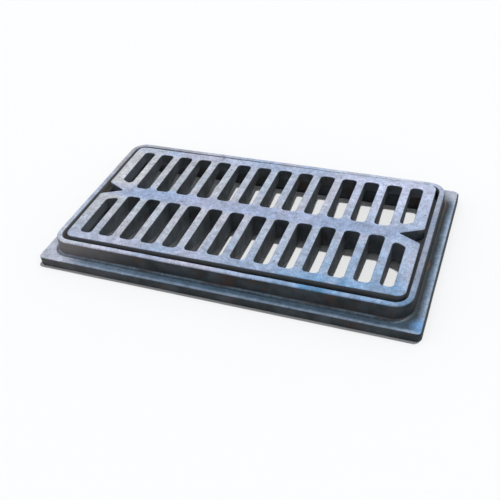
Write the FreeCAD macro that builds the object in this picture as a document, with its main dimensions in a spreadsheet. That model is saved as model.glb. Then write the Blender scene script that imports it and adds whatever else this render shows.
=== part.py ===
import FreeCAD, Part
import Sketcher
import os

# A gully grate of cast iron: a flanged frame that is bedded over the gully's mouth, and a
# slotted grate that drops into it. The origin is the middle of the frame's underside, on
# the bed. X runs along the long side, Y across, and Z points up to the road.

doc = FreeCAD.newDocument("gully_grate")

# Driving sizes, in millimetres and degrees.
SIZES = [
    ("grate_length", 855, "grate, end to end"),
    ("grate_width", 425, "grate, side to side"),
    ("grate_corner", 20, "radius of the grate's corners in plan"),
    ("seat_band", 29, "thickness of the grate where it rests on its seat"),
    ("belly_drop", 27, "how far the bars hang below the seat in mid span"),
    ("belly_inset", 48, "from the grate's long side to the start of the belly"),
    ("slots_per_row", 14, "slots in each row, the two short end slots included"),
    ("bar_width", 21.3, "bar between two slots, at the top"),
    ("end_slot_share", 0.83, "width of an end slot as a share of a full slot"),
    ("end_band", 30, "from the grate's short side to the end slot"),
    ("side_band", 25, "from the grate's long side to the slots"),
    ("spine_width", 41, "bar along the middle, between the two rows"),
    ("slot_corner", 10, "radius of a slot's corners"),
    ("slot_edge", 1.5, "bevel round the mouth of a slot"),
    ("notch_depth", 56, "lifting notch, from the short side to the point of its V"),
    ("notch_mouth", 54, "lifting notch, width at the short side"),
    ("notch_point", 3, "radius at the notch's point"),
    ("notch_lip", 8, "radius where the notch meets the short side"),
    ("notch_web", 31, "web between the notch and an end slot"),
    ("grate_edge", 2, "bevel of the grate's upper edge, notches included"),
    ("seat_clearance", 9, "gap all round between the grate and the collar"),
    ("seat_width", 27, "ledge that carries the grate"),
    ("seat_height", 36, "ledge above the bed"),
    ("collar_wall", 14, "wall of the collar at its top"),
    ("collar_height", 64, "top of the collar above the bed"),
    ("collar_draft", 2, "angle by which the collar widens downwards"),
    ("flange_margin", 29.5, "flange beyond the collar's top"),
    ("flange_thickness", 25, "base flange"),
    ("flange_corner", 14, "radius of the flange's corners in plan"),
    ("mouth_corner", 12, "radius of the clear opening's corners"),
    ("rim_outer_round", 5, "rounding of the collar's top, outside"),
    ("rim_inner_round", 4, "rounding of the collar's top, inside"),
    ("foot_bevel", 4, "flare at the collar's foot"),
    ("flange_edge", 2.5, "bevel of the flange's upper edge"),
    ("grate_shift_along", 1.2, "how far the loose grate lies off centre, along X"),
    ("grate_shift_across", 5.8, "how far the loose grate lies off centre, along Y"),
    ("grate_turn", 0.42, "how far the loose grate lies turned in its frame"),
]

sheet = doc.addObject("Spreadsheet::Sheet", "sizes")
for row, (alias, number, meaning) in enumerate(SIZES, start=1):
    sheet.set(f"A{row}", meaning)
    sheet.set(f"B{row}", str(number))
    sheet.setAlias(f"B{row}", alias)
doc.recompute()

# Sizes that follow from the driving ones, as expressions on the sheet.
SLOT_WIDTH = (
    "((sizes.grate_length - 2 * sizes.end_band - (sizes.slots_per_row - 1) * sizes.bar_width)"
    " / (sizes.slots_per_row - 2 + 2 * sizes.end_slot_share))"
)
PITCH = f"({SLOT_WIDTH} + sizes.bar_width)"
FULL_SLOTS = "(sizes.slots_per_row - 2)"
FIRST_SLOT = f"(-({FULL_SLOTS} - 1) * {PITCH} / 2)"
END_SLOT_OUTER = "(sizes.grate_length / 2 - sizes.end_band)"
END_SLOT_INNER = f"({END_SLOT_OUTER} - sizes.end_slot_share * {SLOT_WIDTH})"
SLOT_FAR = "(sizes.grate_width / 2 - sizes.side_band)"
SLOT_NEAR = "(sizes.spine_width / 2)"
NOTCH_APEX = "(sizes.grate_length / 2 - sizes.notch_depth)"
BELLY_REACH = "(sizes.grate_width / 2 - sizes.belly_inset)"
RECESS_LENGTH = "(sizes.grate_length + 2 * sizes.seat_clearance)"
RECESS_WIDTH = "(sizes.grate_width + 2 * sizes.seat_clearance)"
RECESS_CORNER = "(sizes.grate_corner + sizes.seat_clearance)"
COLLAR_LENGTH = f"({RECESS_LENGTH} + 2 * sizes.collar_wall)"
COLLAR_WIDTH = f"({RECESS_WIDTH} + 2 * sizes.collar_wall)"
COLLAR_CORNER = f"({RECESS_CORNER} + sizes.collar_wall)"
FLANGE_LENGTH = f"({COLLAR_LENGTH} + 2 * sizes.flange_margin)"
FLANGE_WIDTH = f"({COLLAR_WIDTH} + 2 * sizes.flange_margin)"
MOUTH_LENGTH = f"({RECESS_LENGTH} - 2 * sizes.seat_width)"
MOUTH_WIDTH = f"({RECESS_WIDTH} - 2 * sizes.seat_width)"

# A sketch names a point by its curve's index and by which of the curve's points it is.
START_INDEX, END_INDEX = 1, 2
ORIGIN_INDEX = X_AXIS_INDEX = -1

# Shapes count as touching, or as facing up, within these.
TOUCHING = 1e-3
FACING_SHARE = 0.99


def value(expression):
    return float(sheet.evalExpression(expression))


def bind(feature, **sizes):
    """Tie a feature's properties to expressions on the sheet."""
    for name, expression in sizes.items():
        feature.setExpression(name, expression)


def plane(body, role):
    """One of a body's own origin planes or axes, found by its role."""
    return next(item for item in body.Origin.OriginFeatures if item.Role == role)


def sketch_on(body, name, role, height=None):
    """A sketch on one of the body's origin planes, lifted off it by an expression."""
    sketch = body.newObject("Sketcher::SketchObject", name)
    sketch.AttachmentSupport = (plane(body, role), [""])
    sketch.MapMode = "FlatFace"
    if height:
        sketch.setExpression(".AttachmentOffset.Base.z", height)
    doc.recompute()
    return sketch


def dimension(sketch, kind, *place, size):
    """A driving dimension of a sketch, tied to an expression on the sheet."""
    index = sketch.addConstraint(Sketcher.Constraint(kind, *place, value(size)))
    sketch.setExpression(f"Constraints[{index}]", size)


def place_point(sketch, kind, curve, point, size):
    """Hold one point of a curve at a distance from the origin, along X or Y."""
    dimension(sketch, kind, ORIGIN_INDEX, START_INDEX, curve, point, size=size)


def rounded_loop(sketch, corners, radius):
    """A closed loop of straight sides with an arc of one radius at each corner.

    The corners are points in order round the loop, anticlockwise. The indices of the
    straight sides are given back: side i runs from corner i to corner i + 1.
    """
    points = [FreeCAD.Vector(*corner, 0) for corner in corners]
    following = points[1:] + points[:1]
    preceding = points[-1:] + points[:-1]
    size = value(radius)
    starts, middles, ends = [], [], []
    for before, corner, after in zip(preceding, points, following):
        back = (before - corner).normalize()
        ahead = (after - corner).normalize()
        sine = (ahead - back).Length / 2
        cosine = (ahead + back).Length / 2
        starts.append(corner + back * size * cosine / sine)
        middles.append(corner + (ahead + back).normalize() * size * (1 / sine - 1))
        ends.append(corner + ahead * size * cosine / sine)
    sides = [
        sketch.addGeometry(Part.LineSegment(end, start))
        for end, start in zip(ends, starts[1:] + starts[:1])
    ]
    arcs = [
        sketch.addGeometry(Part.Arc(*three))
        for three in zip(starts, middles, ends)
    ]
    for i, arc in enumerate(arcs):
        sketch.addConstraint(Sketcher.Constraint("Tangent", sides[i - 1], END_INDEX, arc, START_INDEX))
        sketch.addConstraint(Sketcher.Constraint("Tangent", arc, END_INDEX, sides[i], START_INDEX))
    for arc in arcs[1:]:
        sketch.addConstraint(Sketcher.Constraint("Equal", arcs[0], arc))
    dimension(sketch, "Radius", arcs[0], size=radius)
    return sides


def upright(sketch, side, x):
    """Hold one side of a loop parallel to Y, at a distance x from the origin."""
    sketch.addConstraint(Sketcher.Constraint("Vertical", side))
    place_point(sketch, "DistanceX", side, START_INDEX, x)


def level(sketch, side, y):
    """Hold one side of a loop parallel to X, at a distance y from the origin."""
    sketch.addConstraint(Sketcher.Constraint("Horizontal", side))
    place_point(sketch, "DistanceY", side, START_INDEX, y)


def rounded_rectangle(sketch, west, east, south, north, radius):
    x0, x1, y0, y1 = (value(edge) for edge in (west, east, south, north))
    sides = rounded_loop(sketch, [(x0, y0), (x1, y0), (x1, y1), (x0, y1)], radius)
    level(sketch, sides[0], south)
    upright(sketch, sides[1], east)
    level(sketch, sides[2], north)
    upright(sketch, sides[3], west)


def plan_outline(body, name, length, width, radius, height=None):
    """A sketch of a rounded rectangle centred on the origin."""
    sketch = sketch_on(body, name, "XY_Plane", height)
    rounded_rectangle(
        sketch, f"-{length} / 2", f"{length} / 2", f"-{width} / 2", f"{width} / 2", radius
    )
    return sketch


def flat_face(shape, height, facing):
    """The largest flat face at a height that faces up (1) or down (-1)."""
    found = []
    for face in shape.Faces:
        box = face.BoundBox
        if box.ZLength < TOUCHING and abs(box.ZMin - height) < TOUCHING:
            if face.normalAt(0, 0).z * facing > FACING_SHARE:
                found.append(face)
    return max(found, key=lambda face: face.Area)


def names_of(shape, edges):
    return [
        f"Edge{number}"
        for number, edge in enumerate(shape.Edges, start=1)
        if any(edge.isSame(other) for other in edges)
    ]


def dress_edges(body, kind, name, edges, **sizes):
    """A fillet or chamfer on edges of the body's last feature."""
    base = body.Tip
    dressing = body.newObject(kind, name)
    dressing.Base = (base, names_of(base.Shape, edges))
    bind(dressing, **sizes)
    doc.recompute()
    body.Tip = dressing


def round_edges(body, name, edges, radius):
    dress_edges(body, "PartDesign::Fillet", name, edges, Radius=radius)


def bevel_edges(body, name, edges, width):
    dress_edges(body, "PartDesign::Chamfer", name, edges, Size=width)


def ring_edges(body, height, outer):
    """Edges round the outside or the inside of the body's flat ring at a height."""
    ring = flat_face(body.Tip.Shape, value(height), 1)
    outside = ring.OuterWire.Edges
    if outer:
        return outside
    return [edge for edge in ring.Edges if not any(edge.isSame(one) for one in outside)]


def make_frame():
    """The frame: a base flange, a collar that stands on it and a ledge inside."""
    body = doc.addObject("PartDesign::Body", "frame")
    body.Label = "frame"

    flange = body.newObject("PartDesign::Pad", "base_flange")
    flange.Profile = plan_outline(
        body, "flange_outline", FLANGE_LENGTH, FLANGE_WIDTH, "sizes.flange_corner"
    )
    bind(flange, Length="sizes.flange_thickness")
    doc.recompute()

    collar = body.newObject("PartDesign::Pad", "collar")
    collar.Profile = plan_outline(
        body, "collar_outline", COLLAR_LENGTH, COLLAR_WIDTH, COLLAR_CORNER, "sizes.collar_height"
    )
    collar.Reversed = True
    bind(
        collar,
        Length="sizes.collar_height - sizes.flange_thickness / 2",
        TaperAngle="sizes.collar_draft",
    )
    doc.recompute()

    recess = body.newObject("PartDesign::Pocket", "recess")
    recess.Profile = plan_outline(
        body, "recess_outline", RECESS_LENGTH, RECESS_WIDTH, RECESS_CORNER, "sizes.collar_height"
    )
    bind(recess, Length="sizes.collar_height - sizes.seat_height")
    doc.recompute()

    mouth = body.newObject("PartDesign::Pocket", "gully_mouth")
    mouth.Profile = plan_outline(
        body, "mouth_outline", MOUTH_LENGTH, MOUTH_WIDTH, "sizes.mouth_corner", "sizes.seat_height"
    )
    mouth.Type = "ThroughAll"
    doc.recompute()

    flange_top = "sizes.flange_thickness"
    rim = "sizes.collar_height"
    bevel_edges(body, "collar_foot", ring_edges(body, flange_top, False), "sizes.foot_bevel")
    bevel_edges(body, "flange_edge", ring_edges(body, flange_top, True), "sizes.flange_edge")
    round_edges(body, "rim_outside", ring_edges(body, rim, True), "sizes.rim_outer_round")
    round_edges(body, "rim_inside", ring_edges(body, rim, False), "sizes.rim_inner_round")
    return body


def notch_side(sketch, side):
    """A construction line along one side of the lifting notch, from its point to its mouth."""
    apex, edge = value(NOTCH_APEX), value("sizes.grate_length / 2")
    half_mouth = side * value("sizes.notch_mouth / 2")
    line = sketch.addGeometry(Part.LineSegment(
        FreeCAD.Vector(apex, 0, 0),
        FreeCAD.Vector(edge, half_mouth, 0),
    ), True)
    sketch.addConstraint(Sketcher.Constraint("PointOnObject", line, START_INDEX, X_AXIS_INDEX))
    place_point(sketch, "DistanceX", line, START_INDEX, NOTCH_APEX)
    place_point(sketch, "DistanceX", line, END_INDEX, "sizes.grate_length / 2")
    place_point(sketch, "DistanceY", line, END_INDEX, f"{side} * sizes.notch_mouth / 2")
    return line


def end_slot(sketch, side):
    """The short slot beside the notch, in the back row (side 1) or the front row (-1).

    Its inner end is cut parallel to the notch, and leaves an even web.
    """
    slope = value("sizes.notch_mouth / (2 * sizes.notch_depth)")
    lift = value("sizes.notch_web") * (1 + slope * slope) ** 0.5
    x0, x1, far = value(END_SLOT_INNER), value(END_SLOT_OUTER), value(SLOT_FAR)
    near0, near1 = (slope * (x - value(NOTCH_APEX)) + lift for x in (x0, x1))
    if side > 0:
        slant, outer, far_end, inner = rounded_loop(
            sketch, [(x0, near0), (x1, near1), (x1, far), (x0, far)], "sizes.slot_corner"
        )
    else:
        far_end, outer, slant, inner = rounded_loop(
            sketch, [(x0, -far), (x1, -far), (x1, -near1), (x0, -near0)], "sizes.slot_corner"
        )
    upright(sketch, outer, END_SLOT_OUTER)
    upright(sketch, inner, END_SLOT_INNER)
    level(sketch, far_end, f"{side} * {SLOT_FAR}")
    guide = notch_side(sketch, side)
    sketch.addConstraint(Sketcher.Constraint("Parallel", slant, guide))
    dimension(sketch, "Distance", guide, START_INDEX, slant, size="sizes.notch_web")


def notch(sketch):
    """The lifting notch: a V in plan, drawn past the plate's edge."""
    past = value("sizes.grate_length / 2 + sizes.notch_lip")
    half = (past - value(NOTCH_APEX)) * value("sizes.notch_mouth / (2 * sizes.notch_depth)")
    lower, edge, upper = rounded_loop(
        sketch, [(value(NOTCH_APEX), 0), (past, -half), (past, half)], "sizes.notch_point"
    )
    upright(sketch, edge, "sizes.grate_length / 2 + sizes.notch_lip")
    for line, side in ((lower, -1), (upper, 1)):
        guide = notch_side(sketch, side)
        sketch.addConstraint(Sketcher.Constraint("Parallel", line, guide))
        sketch.addConstraint(Sketcher.Constraint("PointOnObject", guide, START_INDEX, line))


def belly_section(body):
    """The bars' section along their length: a shallow bow that hangs below the plate."""
    section = sketch_on(body, "belly_section", "YZ_Plane")
    reach, drop = value(BELLY_REACH), value("sizes.belly_drop")
    chord = section.addGeometry(Part.LineSegment(
        FreeCAD.Vector(reach, 0, 0),
        FreeCAD.Vector(-reach, 0, 0),
    ))
    bow = section.addGeometry(Part.Arc(
        FreeCAD.Vector(-reach, 0, 0),
        FreeCAD.Vector(0, -drop, 0),
        FreeCAD.Vector(reach, 0, 0),
    ))
    section.addConstraint(Sketcher.Constraint("Coincident", chord, END_INDEX, bow, START_INDEX))
    section.addConstraint(Sketcher.Constraint("Coincident", bow, END_INDEX, chord, START_INDEX))
    section.addConstraint(Sketcher.Constraint("PointOnObject", chord, START_INDEX, X_AXIS_INDEX))
    section.addConstraint(Sketcher.Constraint("Horizontal", chord))
    place_point(section, "DistanceX", chord, START_INDEX, BELLY_REACH)
    dimension(section, "DistanceX", chord, END_INDEX, ORIGIN_INDEX, START_INDEX, size=BELLY_REACH)
    dimension(
        section, "Radius", bow,
        size=f"({BELLY_REACH} ^ 2 + sizes.belly_drop ^ 2) / (2 * sizes.belly_drop)",
    )
    return section


def make_grate():
    """The grate: a plate with two rows of slots, fish-bellied bars and two notches."""
    body = doc.addObject("PartDesign::Body", "grate")
    body.Label = "grate"
    top = "sizes.seat_band"
    depth = "sizes.seat_band + sizes.belly_drop"

    plate = body.newObject("PartDesign::Pad", "plate")
    plate.Profile = plan_outline(
        body, "plate_outline", "sizes.grate_length", "sizes.grate_width", "sizes.grate_corner"
    )
    bind(plate, Length="sizes.seat_band")
    doc.recompute()

    belly = body.newObject("PartDesign::Pad", "belly")
    belly.Profile = belly_section(body)
    belly.Midplane = True
    bind(belly, Length=f"2 * {END_SLOT_OUTER}")
    doc.recompute()

    slot_plan = sketch_on(body, "slot_outline", "XY_Plane", top)
    west = f"{FIRST_SLOT} - {SLOT_WIDTH} / 2"
    east = f"{FIRST_SLOT} + {SLOT_WIDTH} / 2"
    rounded_rectangle(slot_plan, west, east, SLOT_NEAR, SLOT_FAR, "sizes.slot_corner")
    rounded_rectangle(
        slot_plan, west, east, f"-{SLOT_FAR}", f"-{SLOT_NEAR}", "sizes.slot_corner"
    )
    slots = body.newObject("PartDesign::Pocket", "slot_pair")
    slots.Profile = slot_plan
    bind(slots, Length=depth)
    doc.recompute()

    rows = body.newObject("PartDesign::LinearPattern", "slot_rows")
    rows.Originals = [slots]
    rows.Direction = (plane(body, "X_Axis"), [""])
    bind(rows, Length=f"({FULL_SLOTS} - 1) * {PITCH}", Occurrences=FULL_SLOTS)
    doc.recompute()
    body.Tip = rows

    end_plan = sketch_on(body, "end_slot_outline", "XY_Plane", top)
    end_slot(end_plan, 1)
    end_slot(end_plan, -1)
    end_slots = body.newObject("PartDesign::Pocket", "end_slots")
    end_slots.Profile = end_plan
    bind(end_slots, Length=depth)
    doc.recompute()

    notch_plan = sketch_on(body, "notch_outline", "XY_Plane", top)
    notch(notch_plan)
    notches = body.newObject("PartDesign::Pocket", "notch")
    notches.Profile = notch_plan
    bind(notches, Length=depth)
    doc.recompute()

    far_end = body.newObject("PartDesign::Mirrored", "far_end")
    far_end.Originals = [end_slots, notches]
    far_end.MirrorPlane = (plane(body, "YZ_Plane"), [""])
    doc.recompute()
    body.Tip = far_end

    half_length = value("sizes.grate_length / 2")
    lips = [
        edge for edge in body.Tip.Shape.Edges
        if edge.BoundBox.ZLength > value("sizes.seat_band") / 2
        and abs(edge.BoundBox.Center.x) > half_length - TOUCHING
        and abs(edge.BoundBox.Center.y) < value("sizes.notch_mouth")
    ]
    round_edges(body, "notch_lips", lips, "sizes.notch_lip")
    bevel_edges(body, "grate_rim", ring_edges(body, top, True), "sizes.grate_edge")
    bevel_edges(body, "slot_mouths", ring_edges(body, top, False), "sizes.slot_edge")
    bind(
        body,
        **{
            ".Placement.Base.x": "sizes.grate_shift_along",
            ".Placement.Base.y": "sizes.grate_shift_across",
            ".Placement.Base.z": "sizes.seat_height",
            ".Placement.Rotation.Angle": "sizes.grate_turn",
        },
    )
    return body


sub_parts = [make_frame(), make_grate()]
doc.recompute()

for item in doc.Objects:
    if "Invalid" in item.State or "Error" in item.State:
        raise SystemExit(f"{item.Label} did not build: {item.State}")
for sub_part in sub_parts:
    shape = sub_part.Shape
    if shape.isNull() or not shape.isValid() or len(shape.Solids) != 1:
        raise SystemExit(f"{sub_part.Label} is not one valid solid")

os.makedirs("parts", exist_ok=True)
for sub_part in sub_parts:
    sub_part.Shape.exportStep(f"parts/{sub_part.Label}.step")
    litres = sub_part.Shape.Volume / 1e6
    print(f"{sub_part.Label}: {litres:.3f} litres, {len(sub_part.Shape.Faces)} faces")
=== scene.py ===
# %% [markdown]
# # A gully grate in Blender
#
# A gully grate is the iron top of a road drain. It is two sand castings: a frame that is
# bedded in the road, and a slotted grate that lies loose inside it. The CAD model holds
# both at their real size. Its edges are sharp and its faces are plain, so this script
# models both castings again with the soft edges that iron has when it comes out of the
# sand, gives them their coat, and sets them in a plain studio.

import math

import bmesh
import bpy
from mathutils import Matrix, Vector


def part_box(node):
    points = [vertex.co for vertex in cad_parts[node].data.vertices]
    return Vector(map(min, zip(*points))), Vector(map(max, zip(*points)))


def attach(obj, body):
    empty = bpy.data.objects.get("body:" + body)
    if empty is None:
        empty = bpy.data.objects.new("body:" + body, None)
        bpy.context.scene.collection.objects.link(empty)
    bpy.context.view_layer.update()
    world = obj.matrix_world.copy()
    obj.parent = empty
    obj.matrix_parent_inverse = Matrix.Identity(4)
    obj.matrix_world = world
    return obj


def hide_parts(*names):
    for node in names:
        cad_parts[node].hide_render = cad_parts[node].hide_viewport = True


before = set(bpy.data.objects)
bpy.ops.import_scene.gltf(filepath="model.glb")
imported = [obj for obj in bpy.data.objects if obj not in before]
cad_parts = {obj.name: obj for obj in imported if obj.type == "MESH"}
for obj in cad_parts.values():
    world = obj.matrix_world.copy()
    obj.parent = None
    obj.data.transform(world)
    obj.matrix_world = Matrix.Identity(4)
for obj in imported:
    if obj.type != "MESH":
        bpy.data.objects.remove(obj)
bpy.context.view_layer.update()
MM = 0.001

# %% [markdown]
# ## Camera
#
# The photograph was taken from the front right, looking down at about forty degrees. A
# camera could be placed by eye and turned until it fits. Here it stands on a line through
# its target instead, at a known azimuth and elevation, and is rolled a little because the
# photograph is, so each of its numbers can be read. The lens is worked out from a focal
# length in pixels of a frame 500 pixels wide.

# %% Camera, with angles in radians and lengths in mm
AZIMUTH = 0.435
ELEVATION = 0.694
ROLL = -0.111
DISTANCE = 1774.8 * MM
TARGET = Vector((19.7, -72.6, 0.0)) * MM
FOCAL_PIXELS = 707.7
PHOTO_PIXELS = 500


def add_camera():
    back = Vector((
        math.sin(AZIMUTH) * math.cos(ELEVATION),
        -math.cos(AZIMUTH) * math.cos(ELEVATION),
        math.sin(ELEVATION),
    ))
    right = Vector((math.cos(AZIMUTH), math.sin(AZIMUTH), 0.0))
    up = back.cross(right)
    rolled_right = right * math.cos(ROLL) + up * math.sin(ROLL)
    rolled_up = back.cross(rolled_right)
    turn = Matrix((rolled_right, rolled_up, back)).transposed().to_4x4()
    bpy.ops.object.camera_add()
    camera = bpy.context.object
    camera.name = "camera"
    camera.matrix_world = Matrix.Translation(TARGET + back * DISTANCE) @ turn
    camera.data.lens = FOCAL_PIXELS / PHOTO_PIXELS * camera.data.sensor_width
    bpy.context.scene.camera = camera
    return camera


camera = add_camera()
print("camera at, mm:", [round(number / MM) for number in camera.location])

# %% [markdown]
# ## Selecting by place
#
# By hand, an edge is picked by clicking it. A script could pick it by its number, but the
# numbers change with every cut. So here an edge is picked by where it lies. Both castings
# are made of rounded rectangles, and one measure serves for all of them: how far a point
# lies outside a rounded rectangle that is centred on the origin. It is negative inside and
# zero on the outline.

# %% How far outside a rounded rectangle
# A point this near to an outline or a height, in mm, counts as on it.
CLOSE = 0.05


def outside_by(point, length, width, radius):
    """How far a point lies outside a rounded rectangle, in mm."""
    past_x = abs(point.x) / MM - length / 2 + radius
    past_y = abs(point.y) / MM - width / 2 + radius
    corner = math.hypot(max(past_x, 0), max(past_y, 0))
    return corner + min(max(past_x, past_y), 0) - radius


def at_height(edge, height):
    return all(abs(vertex.co.z / MM - height) < CLOSE for vertex in edge.verts)


def lies_on(edge, outline):
    """Whether both ends of an edge are on a rounded rectangle at its height."""
    length, width, radius, height = outline
    return at_height(edge, height) and all(
        abs(outside_by(vertex.co, length, width, radius)) < CLOSE for vertex in edge.verts
    )


# %% Picking and rounding edges


def start_editing(piece):
    bpy.ops.object.select_all(action="DESELECT")
    piece.select_set(True)
    bpy.context.view_layer.objects.active = piece
    bpy.ops.object.mode_set(mode="EDIT")
    bpy.ops.mesh.select_mode(type="EDGE")


def stop_editing():
    bpy.ops.object.mode_set(mode="OBJECT")


def pick_edges(piece, wanted):
    """Select the edges that a test wants, and nothing else."""
    bpy.ops.mesh.select_all(action="DESELECT")
    mesh = bmesh.from_edit_mesh(piece.data)
    chosen = [edge for edge in mesh.edges if wanted(edge)]
    for edge in chosen:
        edge.select_set(True)
    bmesh.update_edit_mesh(piece.data)
    return len(chosen)


def round_picked(width, steps):
    """Round the picked edges off. The round takes this width, in mm, of each face."""
    bpy.ops.mesh.bevel(
        affect="EDGES", offset=width * MM, segments=steps, profile=0.5, clamp_overlap=False
    )


# %% [markdown]
# ## The uneven line of a casting
#
# A casting's edges are never dead straight: the pattern shakes in the sand, and the iron
# shrinks as it cools. Moving single points by chance would look crumpled. A Displace
# modifier moves each point a few tenths of a millimetre by a smooth cloud, nearly the same
# way for its neighbours, so that edges wander and faces stay smooth. The points that
# wander out of the CAD part's box are brought back to it.

# %% Unevenness, and the last steps on each mesh
# Lengths in mm. A point moves by half of the first at most, along each axis.
WANDER = 1.1
WANDER_LENGTH = 70
DOUBLES_APART = 0.01
# Edges that turn by more degrees than this are left sharp.
SMOOTH_ANGLE = 40


def let_wander(piece):
    clouds = bpy.data.textures.new(piece.name + "_wander", "CLOUDS")
    clouds.noise_scale = WANDER_LENGTH * MM
    clouds.cloud_type = "COLOR"
    wander = piece.modifiers.new("wander", "DISPLACE")
    wander.texture = clouds
    wander.texture_coords = "LOCAL"
    wander.direction = "RGB_TO_XYZ"
    wander.space = "LOCAL"
    wander.strength = WANDER * MM
    wander.mid_level = 0.5
    bpy.ops.object.modifier_apply(modifier=wander.name)


def keep_inside(piece, node):
    """Bring points back that have wandered out of the box of the CAD node."""
    low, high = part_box(node)
    for vertex in piece.data.vertices:
        for axis in range(3):
            vertex.co[axis] = min(max(vertex.co[axis], low[axis]), high[axis])


def finish_mesh(piece):
    """Normals outwards, and smooth shading that keeps the flat faces flat."""
    start_editing(piece)
    bpy.ops.mesh.select_all(action="SELECT")
    bpy.ops.mesh.remove_doubles(threshold=DOUBLES_APART * MM)
    bpy.ops.mesh.normals_make_consistent(inside=False)
    stop_editing()
    bpy.ops.object.shade_smooth_by_angle(angle=math.radians(SMOOTH_ANGLE))
    evening = piece.modifiers.new("even_normals", "WEIGHTED_NORMAL")
    evening.keep_sharp = True
    bpy.ops.object.modifier_apply(modifier=evening.name)


# %% [markdown]
# ## The frame casting
#
# The frame is one ring of iron: a flange at the foot, a collar on it and a ledge inside
# that carries the grate. One profile swept along a path would be the usual way to make a
# ring. Here it would go wrong, because the corner of the flange is nearly square and the
# corner of the collar is wide. Instead, every ridge and hollow of the section is a rounded
# rectangle with its own corner radius. Each is drawn as a plane whose corners are
# bevelled, neighbours are bridged with faces, and each ridge is rounded as it is in iron.

# %% The rounded rectangles of the frame, from the outer foot round to the mouth
FLANGE = (960, 530, 14)
FLANGE_TOP = 25
COLLAR_FOOT = (903.7, 473.7, 44.4)
COLLAR = (901, 471, 43)
COLLAR_TOP = 64
RECESS = (873, 443, 29)
SEAT = 36
MOUTH = (819, 389, 12)

# Each ring is an outline at its height, with the width of its round and the steps in it.
FRAME_RINGS = [
    ((*FLANGE, 0), 1.5, 2),
    ((*FLANGE, FLANGE_TOP), 3.5, 4),
    ((*COLLAR_FOOT, FLANGE_TOP), 5, 3),
    ((*COLLAR, COLLAR_TOP), 5.5, 5),
    ((*RECESS, COLLAR_TOP), 3.2, 4),
    ((*RECESS, SEAT), 2, 2),
    ((*MOUTH, SEAT), 1.5, 2),
    ((*MOUTH, 0), 1, 1),
]
CORNER_STEPS = 10
LONG_SIDE_CUTS = 59
SHORT_SIDE_CUTS = 29

# %% Drawing and bridging the rings


def add_ring(outline):
    """A rounded rectangle of edges, added to the mesh that is being edited."""
    length, width, radius, height = outline
    bpy.ops.mesh.primitive_plane_add(size=1, location=(0, 0, height * MM))
    bpy.ops.transform.resize(value=(length * MM, width * MM, 1))
    bpy.ops.mesh.bevel(
        affect="VERTICES", offset=radius * MM, segments=CORNER_STEPS, profile=0.5,
        clamp_overlap=False,
    )
    bpy.ops.mesh.delete(type="ONLY_FACE")


def divide_side(piece, outline, along, cuts):
    """Divide the straight sides of a ring that run along X (0) or Y (1)."""
    radius = outline[2]

    def is_side(edge):
        """The steps of a corner lie on the ring too, but are shorter than its radius."""
        run = edge.verts[1].co - edge.verts[0].co
        return lies_on(edge, outline) and abs(run[along]) / MM > radius

    pick_edges(piece, is_side)
    bpy.ops.mesh.subdivide(number_cuts=cuts)


# %% The ring of iron


def start_empty(name):
    """A piece with nothing in it, ready for its first ring."""
    bpy.ops.object.select_all(action="DESELECT")
    bpy.ops.mesh.primitive_plane_add(size=1)
    piece = bpy.context.object
    piece.name = name
    start_editing(piece)
    bpy.ops.mesh.select_all(action="SELECT")
    bpy.ops.mesh.delete(type="VERT")
    return piece


def make_frame_casting():
    piece = start_empty("frame_casting")
    outlines = [outline for outline, width, steps in FRAME_RINGS]
    for outline in outlines:
        add_ring(outline)
        divide_side(piece, outline, 0, LONG_SIDE_CUTS)
        divide_side(piece, outline, 1, SHORT_SIDE_CUTS)
    for outline, following in zip(outlines, outlines[1:] + outlines[:1]):
        pick_edges(piece, lambda edge: lies_on(edge, outline) or lies_on(edge, following))
        bpy.ops.mesh.bridge_edge_loops()
    bpy.ops.mesh.select_all(action="SELECT")
    bpy.ops.mesh.normals_make_consistent(inside=False)
    for outline, width, steps in FRAME_RINGS:
        pick_edges(piece, lambda edge: lies_on(edge, outline))
        round_picked(width, steps)
    stop_editing()
    let_wander(piece)
    keep_inside(piece, "frame")
    finish_mesh(piece)
    return piece


frame_casting = make_frame_casting()
print("frame casting:", len(frame_casting.data.polygons), "faces")

# %% [markdown]
# ## The grate casting
#
# The grate is a plate with two rows of slots on either side of a spine. Its bars are
# fish-bellied: deep in mid span, where a wheel bends them most, and thin where the grate
# is seated. Each bar could be modelled by itself and joined to the others, but then every
# joint would need a patch. It is easier to cut it as a pattern maker does: one block, from
# which prisms take the slots and the two lifting notches. The block is sliced first, so
# that its underside has points, and these are pushed up to the bow of the bars at the end.

# %% Sizes of the grate
GRATE = (855, 425, 20)
GRATE_TOP = 65
# The bellies' lowest height, and how far from the middle line their bow ends.
BELLY = 9
BELLY_REACH = 164.5

# Both ends of a full slot are measured from the middle line.
BAR = 21.3
SLOT_WIDTH = 37.93
SLOT_NEAR = 20.5
SLOT_FAR = 187.5
SLOT_CORNER = 10
FULL_SLOTS = 12
PITCH = SLOT_WIDTH + BAR

# Both sides of an end slot are measured from the grate's middle.
END_SLOT_INNER = 366.0
END_SLOT_OUTER = 397.5

# A notch has a rounded point and rounded lips, and a web parts it from the slots.
NOTCH_DEPTH = 56
NOTCH_MOUTH = 54
NOTCH_POINT = 3
NOTCH_LIP = 8
NOTCH_WEB = 31
NOTCH_APEX = GRATE[0] / 2 - NOTCH_DEPTH
NOTCH_SLOPE = NOTCH_MOUTH / 2 / NOTCH_DEPTH
WEB_LIFT = NOTCH_WEB * math.hypot(1, NOTCH_SLOPE)

# %% A prism with rounded corners
# The block starts out a little deeper than the bellies, and cutters reach past it.
BLOCK_LOW = BELLY - 2
CUT_PAST = 5
PRISM_CORNER_STEPS = 6


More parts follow.
